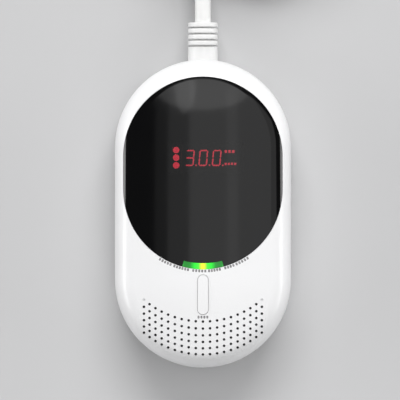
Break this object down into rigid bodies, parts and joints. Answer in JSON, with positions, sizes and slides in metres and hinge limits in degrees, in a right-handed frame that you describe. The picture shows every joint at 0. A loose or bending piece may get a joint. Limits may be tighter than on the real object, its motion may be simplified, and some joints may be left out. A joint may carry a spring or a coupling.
{
  "type": "carbon monoxide detector",
  "caption": "Pill-shaped mains gas alarm with a dark glossy display window, light bar, sprung test button, grille and a ribbed flying lead coiled behind it.",
  "frame": {"origin": "centre of the flat back of the case, on the surface it lies on", "axes": "+Z out of the front face, +Y along the case towards the lead, +X to the right seen from the front"},
  "size_m": [0.102, 0.2471, 0.0302],
  "materials": {
    "shell_white": "semi-gloss",
    "tray_white": "fine matt texture",
    "window_black": "polished, smoked",
    "mask_black": "matt",
    "tape_grey": "foam",
    "bar_green": "lit from behind",
    "switch_black": "moulded",
    "plunger_brown": "moulded",
    "mesh_steel": "woven",
    "board_green": "solder resist",
    "header_black": "moulded",
    "module_grey": "moulded",
    "digit_red": "lit",
    "led_green": "clear tinted",
    "led_yellow": "clear tinted",
    "led_red": "clear tinted",
    "disc_brass": "satin",
    "sensor_steel": "drawn",
    "filter_grey": "sintered",
    "core_steel": "laminated",
    "coil_tape": "taped",
    "can_blue": "shrink sleeve",
    "film_yellow": "moulded",
    "fuse_brown": "moulded",
    "disc_blue": "dipped",
    "terminal_green": "moulded",
    "screw_steel": "plated",
    "chip_black": "moulded",
    "wire_brown": "insulation",
    "wire_blue": "insulation",
    "label_white": "blank label",
    "relief_white": "moulded",
    "cord_white": "smooth sheath",
    "tie_black": "hook and loop",
    "pin_steel": "nickel plated"
  },
  "bodies": {
    "case": {"front_shell": "shell_white", "rear_shell": "tray_white", "display_window": "window_black", "display_mask": "mask_black", "window_tape": "tape_grey", "light_bar": "bar_green", "switch_body": "switch_black", "dust_mesh": "mesh_steel", "main_board": "board_green", "display_board": "board_green", "board_header": "header_black", "display_module": "module_grey", "display_digits": "digit_red", "level_lamps": "digit_red", "unit_bars": "digit_red", "power_led": "led_green", "fault_led": "led_yellow", "alarm_led": "led_red", "sounder_case": "switch_black", "sounder_disc": "disc_brass", "gas_sensor": "sensor_steel", "sensor_cap": "tray_white", "sensor_filter": "filter_grey", "transformer_core": "core_steel", "transformer_coil": "coil_tape", "smoothing_capacitors": "can_blue", "filter_capacitor": "film_yellow", "fuse": "fuse_brown", "varistor": "disc_blue", "terminal_block": "terminal_green", "terminal_screws": "screw_steel", "controller_chip": "chip_black", "regulator": "chip_black", "live_core": "wire_brown", "neutral_core": "wire_blue", "case_screws": "screw_steel", "board_screws": "screw_steel", "rating_label": "label_white", "strain_relief": "relief_white", "cord_lead": "cord_white", "cord_coil": "cord_white", "cord_tail": "cord_white", "cord_tie": "tie_black", "plug_body": "relief_white", "plug_pins": "pin_steel"},
    "button": {"test_button": "shell_white"},
    "plunger": {"switch_plunger": "plunger_brown"}
  },
  "joints": [
    {"name": "test_button_press", "type": "slide", "parent": "case", "child": "button", "axis": [0, 0, -1], "range_m": [0, 0.0006], "stiffness_N_per_m": 400, "springref_m": -0.0005},
    {"name": "switch_plunger_press", "type": "slide", "parent": "case", "child": "plunger", "axis": [0, 0, -1], "range_m": [0, 0.0006], "stiffness_N_per_m": 100, "springref_m": -0.0002}
  ],
  "couplings": [
    {"joint": "switch_plunger_press", "follows": "test_button_press", "ratio": 1}
  ]
}
